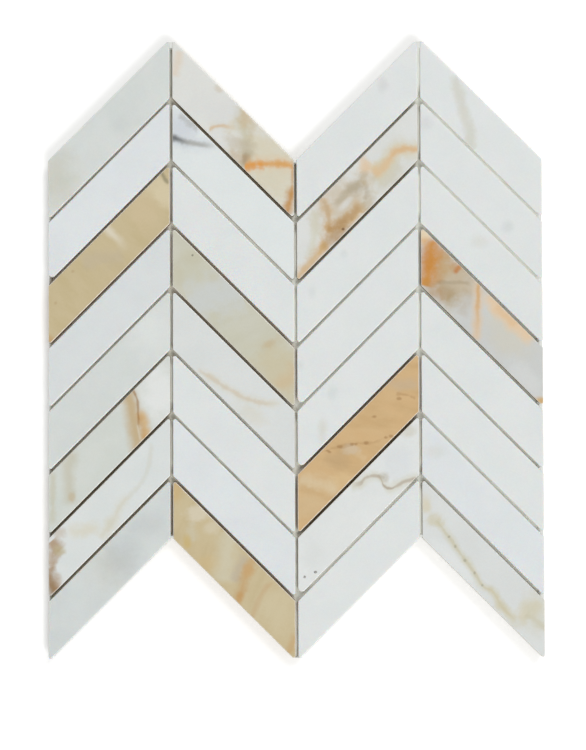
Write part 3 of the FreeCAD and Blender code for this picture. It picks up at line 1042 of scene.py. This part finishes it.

# Dried mosaic glue: matt and chalky, darker and browner the lower it lies in a joint, and white where it was
# wiped
DEEP_GLUE, DUSTY_GLUE = "#AC966E", "#C4B08A"
CLEAN_GLUE = "#D7D9D0"
WIPED_GLUE = "#DFE1DC"
GLUE_DUST = 1.5
GLUE_GRAIN = 0.1
GLUE_ROUGHNESS = 0.85
CLEAN_HEIGHTS = (3.5, 7.0)
WIPED_HEIGHTS = (8.8, 9.6)
material = blank_material("dried mosaic glue")
tree = material.node_tree
place = add(tree, "TexCoord", {}).outputs["Object"]
dust = add(tree, "TexNoise", {"Vector": place, "Scale": 1 / (GLUE_DUST * MM), "Detail": 3.0}).outputs["Fac"]
colour = add(
    tree, "Mix", {FACTOR: dust, UNDER: linear(DEEP_GLUE), OVER: linear(DUSTY_GLUE)}, data_type="RGBA"
).outputs[BLEND]
height = add(tree, "SeparateXYZ", {0: place}).outputs["Z"]
at_end = add(tree, "Attribute", {}, attribute_name="wiped").outputs["Fac"]
# Glue turns paler the higher it stands in a joint
shades = []
for (low, high), shade in ((CLEAN_HEIGHTS, CLEAN_GLUE), (WIPED_HEIGHTS, WIPED_GLUE)):
    amount = add(
        tree, "MapRange", {"Value": height, "From Min": low * MM, "From Max": high * MM}
    ).outputs[0]
    shades.append((amount, shade))
for amount, shade in (*shades, (at_end, WIPED_GLUE)):
    colour = add(
        tree, "Mix", {FACTOR: amount, UNDER: colour, OVER: linear(shade)}, data_type="RGBA"
    ).outputs[BLEND]
bump = add(tree, "Bump", {"Height": dust, "Strength": 0.5, "Distance": GLUE_GRAIN * MM}).outputs[0]
shader = add(
    tree, "BsdfPrincipled", {"Base Color": colour, "Roughness": GLUE_ROUGHNESS, "Normal": bump}
).outputs[0]
add(tree, "OutputMaterial", {"Surface": shader})
mesh.materials.append(material)
glue = in_scene("joint_glue", mesh)
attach(glue, "root")

# Backing net
# A net of flat glass-fibre yarns in a plain weave, cut to the zigzag a little inside the marble's edge.
# It is stiff with glue, and carries all the pieces.
YARN_PITCH = 4.0
YARN_WIDTH = 1.5
YARN_THICKNESS = 0.28
YARN_MIDDLE = 0.3
YARN_WAVE = 0.14
YARN_STEP = 2.0
EDGE_STEP = 0.25

runs = []
for number in range(math.ceil(net_turns[0] / YARN_PITCH), math.floor(net_turns[-1] / YARN_PITCH) + 1):
    x = number * YARN_PITCH
    runs.append((number, x, np.interp(x, net_turns, net_low), np.interp(x, net_turns, net_high), True))
fine = np.arange(net_turns[0], net_turns[-1], EDGE_STEP)
fine_low = np.interp(fine, net_turns, net_low)
fine_high = np.interp(fine, net_turns, net_high)
for number in range(math.ceil(net_low.min() / YARN_PITCH), math.floor(net_high.max() / YARN_PITCH) + 1):
    y = number * YARN_PITCH
    inside = np.concatenate(([False], (fine_low <= y) & (y <= fine_high), [False]))
    changes = np.flatnonzero(inside[1:] != inside[:-1])
    for first, last in zip(changes[::2], changes[1::2]):
        if fine[last - 1] - fine[first] > YARN_PITCH:
            runs.append((number, y, fine[first], fine[last - 1], False))

vertices = []
faces = []
section = ((YARN_WIDTH / 2, 0), (0, YARN_THICKNESS / 2), (-YARN_WIDTH / 2, 0), (0, -YARN_THICKNESS / 2))
for number, offset, start, end, warp in runs:
    stops = np.linspace(start, end, max(2, round((end - start) / YARN_STEP) + 1))
    first = len(vertices)
    for stop in stops:
        wave = YARN_WAVE * math.cos(math.pi * (stop / YARN_PITCH + number + (0 if warp else 1)))
        for side, lift in section:
            place = (offset + side, stop) if warp else (stop, offset - side)
            vertices.append((*place, YARN_MIDDLE + wave + lift))
    for stop in range(len(stops) - 1):
        here = first + 4 * stop
        for side in range(4):
            after = (side + 1) % 4
            faces.append((here + side, here + after, here + 4 + after, here + 4 + side))
    faces.append(tuple(first + side for side in (3, 2, 1, 0)))
    faces.append(tuple(first + 4 * (len(stops) - 1) + side for side in range(4)))
mesh = bpy.data.meshes.new("glass_fibre_net")
mesh.from_pydata([(x * MM, y * MM, z * MM) for x, y, z in vertices], [], faces)
face_outward(mesh)

# Glass-fibre yarn: dull white filaments bound in yellowish size, so it is mottled and a little rough.
# The filaments are drawn coarser than they are, so that they show.
BARE_YARN, SIZED_YARN = "#E6E3D8", "#D2CBB6"
SIZE_FILM = 6.0
FILAMENT = 0.3
FILAMENT_RELIEF = 0.05
YARN_ROUGHNESS = 0.55
material = blank_material("sized glass-fibre yarn")
tree = material.node_tree
place = add(tree, "TexCoord", {}).outputs["Object"]
size_film = add(
    tree, "TexNoise", {"Vector": place, "Scale": 1 / (SIZE_FILM * MM), "Detail": 3.0}
).outputs["Fac"]
colour = add(
    tree, "Mix", {FACTOR: size_film, UNDER: linear(BARE_YARN), OVER: linear(SIZED_YARN)}, data_type="RGBA"
).outputs[BLEND]
filaments = add(
    tree, "TexNoise", {"Vector": place, "Scale": 1 / (FILAMENT * MM), "Detail": 2.0}
).outputs["Fac"]
bump = add(tree, "Bump", {"Height": filaments, "Strength": 0.6, "Distance": FILAMENT_RELIEF * MM}).outputs[0]
shader = add(
    tree, "BsdfPrincipled", {"Base Color": colour, "Roughness": YARN_ROUGHNESS, "Normal": bump}
).outputs[0]
add(tree, "OutputMaterial", {"Surface": shader})
mesh.materials.append(material)
net = in_scene("glass_fibre_net", mesh)
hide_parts("backing_net")
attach(net, "root")

# Studio
# A matt white floor with two wide soft lamps, above and below on the right, and even light all round.
# The floor looks white to the camera, and still takes the sheet's shadow.
FLOOR_REACH = 3.0
AMBIENT = 0.5
KEY_DISTANCE = 7.0
KEY_SIZE = 2.4
KEYS = (((0.33, 0.6, 1.0), 0.2), ((0.33, -0.6, 1.0), 0.3))
FLOOR_LIFT = 0.25
FLOOR_PAINT = "#F3F3F2"


def as_background(tree):
    """1 on rays that show a surface as background: straight on, mirrored or through glass; 0 on the rest."""
    light_path = add(tree, "LightPath", {})
    seen = light_path.outputs["Is Camera Ray"]
    for ray in ("Is Glossy Ray", "Is Transmission Ray"):
        seen = add(tree, "Math", {0: seen, 1: light_path.outputs[ray]}, operation="MAXIMUM").outputs[0]
    return seen


mesh = bpy.data.meshes.new("floor")
floor_corners = [(x * FLOOR_REACH, y * FLOOR_REACH, 0) for x, y in ((-1, -1), (1, -1), (1, 1), (-1, 1))]
mesh.from_pydata(floor_corners, [], [(0, 1, 2, 3)])
material = blank_material("matt white floor")
tree = material.node_tree
lift = add(tree, "Math", {0: as_background(tree), 1: FLOOR_LIFT}, operation="MULTIPLY").outputs[0]
paint = add(tree, "BsdfDiffuse", {"Color": linear(FLOOR_PAINT)}).outputs[0]
glare = add(tree, "Emission", {"Strength": lift}).outputs[0]
surface = add(tree, "AddShader", {0: paint, 1: glare}).outputs[0]
add(tree, "OutputMaterial", {"Surface": surface})
mesh.materials.append(material)
floor = in_scene("floor", mesh)

world = bpy.data.worlds.new("even studio light")
bpy.context.scene.world = world
world.use_nodes = True
tree = world.node_tree
tree.nodes.clear()
strength = add(tree, "MapRange", {"Value": as_background(tree), "To Min": AMBIENT, "To Max": 1.0}).outputs[0]
sky = add(tree, "Background", {"Color": linear("#FFFFFF"), "Strength": strength}).outputs[0]
add(tree, "OutputWorld", {"Surface": sky})

# A flat lamp of power P sends P / pi along its axis, and a share of 1 would show white paper as white
for key_from, share in KEYS:
    toward = Vector(key_from).normalized()
    key = bpy.data.lights.new("key", "AREA")
    key.shape = "SQUARE"
    key.size = KEY_SIZE
    key.energy = share * math.pi**2 * KEY_DISTANCE**2 / toward.z
    lamp = in_scene("key", key)
    lamp.location = toward * KEY_DISTANCE
    lamp.rotation_euler = toward.to_track_quat("Z", "Y").to_euler()

# The camera looks down on the sheet from about a metre, a touch off square
IMAGE_HEIGHT = 750
FOCAL_PIXELS = 2006
SENSOR = 36.0
CAMERA_PLACE = (-0.00774, -0.03737, 1.01063)
CAMERA_TURN = (1.388, -0.354, -0.219)
lens = bpy.data.cameras.new("camera")
lens.sensor_width = SENSOR
lens.lens = SENSOR * FOCAL_PIXELS / IMAGE_HEIGHT
camera = in_scene("camera", lens)
camera.location = CAMERA_PLACE
camera.rotation_euler = [math.radians(angle) for angle in CAMERA_TURN]
bpy.context.scene.camera = camera
bpy.context.scene.view_settings.view_transform = "Standard"
